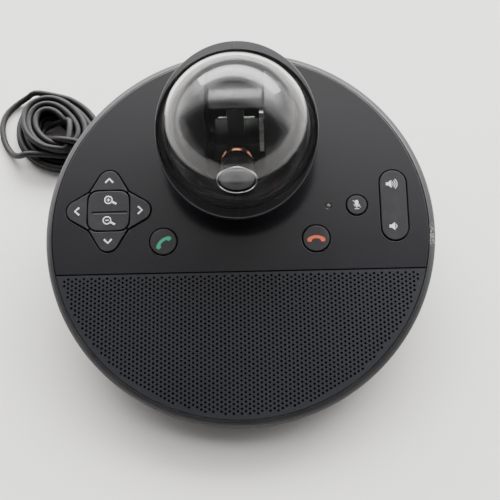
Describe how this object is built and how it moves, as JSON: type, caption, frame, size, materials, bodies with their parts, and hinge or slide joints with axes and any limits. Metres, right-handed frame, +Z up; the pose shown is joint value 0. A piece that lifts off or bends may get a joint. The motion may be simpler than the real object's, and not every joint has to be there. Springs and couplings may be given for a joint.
{
  "type": "conference speakerphone",
  "caption": "Round tilted speakerphone base with perforated grille and keys, under a pan and tilt camera in a clear dome; coiled USB cable.",
  "frame": {"origin": "on the table, under the middle of the base's outline (its cable left out)", "axes": "+Z up, -Y towards the user (the low side of the disc), +X to the user's right"},
  "size_m": [0.2935, 0.256, 0.1319],
  "materials": {
    "board_green": "circuit board",
    "bronze": "sintered bearing bronze",
    "cable_black": "smooth cable jacket",
    "clear": "clear polycarbonate dome",
    "cloth": "thin acoustic cloth",
    "cone_paper": "pressed paper",
    "deck_gloss": "polished, soft reflections",
    "ferrite": "dark ceramic magnet",
    "gear_plastic": "natural acetal",
    "grille_metal": "black perforated sheet",
    "head_black": "black, semi-gloss",
    "housing_black": "fine moulded texture, satin",
    "inner_gloss": "polished black",
    "key_matt": "soft matt keys, printed symbols",
    "led_lens": "smoked light pipe",
    "lens_glass": "coated glass over a dark lens",
    "lens_silver": "bright ring",
    "rim_satin": "dark grey satin paint",
    "soft_rubber": "matt",
    "steel": "plain"
  },
  "bodies": {
    "base": {"base_shell": "housing_black", "rim_ring": "rim_satin", "deck_panel": "deck_gloss", "speaker_grille": "grille_metal", "grille_cloth": "cloth", "inner_frame": "housing_black", "base_screw_1": "steel", "base_screw_2": "steel", "base_screw_3": "steel", "rubber_foot_1": "soft_rubber", "rubber_foot_2": "soft_rubber", "rubber_foot_3": "soft_rubber", "ballast_plate": "steel", "main_board": "board_green", "key_mat": "soft_rubber", "key_board": "board_green", "status_led": "led_lens", "microphone": "steel", "speaker_basket": "housing_black", "speaker_magnet": "ferrite", "speaker_surround": "soft_rubber", "neck_socket": "housing_black", "power_jack": "housing_black", "headset_jack": "housing_black", "cable_gland": "soft_rubber", "usb_cable": "cable_black", "cable_coil": "cable_black", "cable_loop": "cable_black", "usb_plug": "cable_black"},
    "speaker_cone": {"speaker_cone": "cone_paper"},
    "call_key": {"call_key": "key_matt"},
    "hangup_key": {"hangup_key": "key_matt"},
    "mute_key": {"mute_key": "key_matt"},
    "key_up": {"key_up": "key_matt"},
    "key_down": {"key_down": "key_matt"},
    "key_left": {"key_left": "key_matt"},
    "key_right": {"key_right": "key_matt"},
    "zoom_rocker": {"zoom_rocker": "key_matt"},
    "volume_rocker": {"volume_rocker": "key_matt"},
    "neck": {"neck": "head_black", "pan_bearing": "bronze", "pan_motor": "steel"},
    "pan_pinion": {"pan_pinion": "steel"},
    "head": {"pan_platform": "head_black", "pan_gear": "gear_plastic", "head_shell_left": "head_black", "head_shell_right": "head_black", "dome_seal": "soft_rubber", "clear_dome": "clear", "cheek_left": "inner_gloss", "cheek_right": "inner_gloss", "tilt_motor": "steel"},
    "camera": {"lens_housing": "housing_black", "lens_barrel": "housing_black", "lens_ring": "lens_silver", "lens_glass": "lens_glass", "sensor_board": "board_green", "slot_shield": "inner_gloss", "tilt_gear": "gear_plastic"},
    "tilt_pinion": {"tilt_pinion": "steel"}
  },
  "joints": [
    {"name": "call_key_press", "type": "slide", "parent": "base", "child": "call_key", "axis": [0, 0.2164, -0.9763], "range_m": [0, 0.0006], "stiffness_N_per_m": 1000, "springref_m": -0.0003},
    {"name": "hangup_key_press", "type": "slide", "parent": "base", "child": "hangup_key", "axis": [0, 0.2164, -0.9763], "range_m": [0, 0.0006], "stiffness_N_per_m": 1000, "springref_m": -0.0003},
    {"name": "mute_key_press", "type": "slide", "parent": "base", "child": "mute_key", "axis": [0, 0.2164, -0.9763], "range_m": [0, 0.0006], "stiffness_N_per_m": 1000, "springref_m": -0.0003},
    {"name": "key_up_press", "type": "slide", "parent": "base", "child": "key_up", "axis": [0, 0.2164, -0.9763], "range_m": [0, 0.0006], "stiffness_N_per_m": 1000, "springref_m": -0.0003},
    {"name": "key_down_press", "type": "slide", "parent": "base", "child": "key_down", "axis": [0, 0.2164, -0.9763], "range_m": [0, 0.0006], "stiffness_N_per_m": 1000, "springref_m": -0.0003},
    {"name": "key_left_press", "type": "slide", "parent": "base", "child": "key_left", "axis": [0, 0.2164, -0.9763], "range_m": [0, 0.0006], "stiffness_N_per_m": 1000, "springref_m": -0.0003},
    {"name": "key_right_press", "type": "slide", "parent": "base", "child": "key_right", "axis": [0, 0.2164, -0.9763], "range_m": [0, 0.0006], "stiffness_N_per_m": 1000, "springref_m": -0.0003},
    {"name": "zoom_rock", "type": "hinge", "parent": "base", "child": "zoom_rocker", "pos_m": [-0.081, 0.01208, 0.04873], "axis": [1, 0, 0], "range_deg": [-3, 3], "stiffness_Nm_per_rad": 0.25},
    {"name": "volume_rock", "type": "hinge", "parent": "base", "child": "volume_rocker", "pos_m": [0.0952, 0.01168, 0.04864], "axis": [1, 0, 0], "range_deg": [-2, 2], "stiffness_Nm_per_rad": 0.6},
    {"name": "cone_travel", "type": "slide", "parent": "base", "child": "speaker_cone", "axis": [0, -0.2164, 0.9763], "range_m": [-0.0008, 0.0008], "stiffness_N_per_m": 2500},
    {"name": "head_lift", "type": "slide", "parent": "base", "child": "neck", "axis": [0, 0, 1], "range_m": [0, 0.03]},
    {"name": "head_pan", "type": "hinge", "parent": "neck", "child": "head", "pos_m": [0, 0.04543, 0.065], "axis": [0, 0, 1], "range_deg": [-90, 90]},
    {"name": "pan_pinion_spin", "type": "hinge", "parent": "neck", "child": "pan_pinion", "pos_m": [0, 0.06223, 0.057], "axis": [0, 0, 1], "range_deg": [-300, 300]},
    {"name": "lens_tilt", "type": "hinge", "parent": "head", "child": "camera", "pos_m": [0, 0.04543, 0.078], "axis": [-1, 0, 0], "range_deg": [-6, 30]},
    {"name": "tilt_pinion_spin", "type": "hinge", "parent": "head", "child": "tilt_pinion", "pos_m": [0, 0.05574, 0.08395], "axis": [-1, 0, 0], "range_deg": [-75, 20]}
  ],
  "couplings": [
    {"joint": "pan_pinion_spin", "follows": "head_pan", "ratio": -3.2},
    {"joint": "tilt_pinion_spin", "follows": "lens_tilt", "ratio": -2.4}
  ]
}
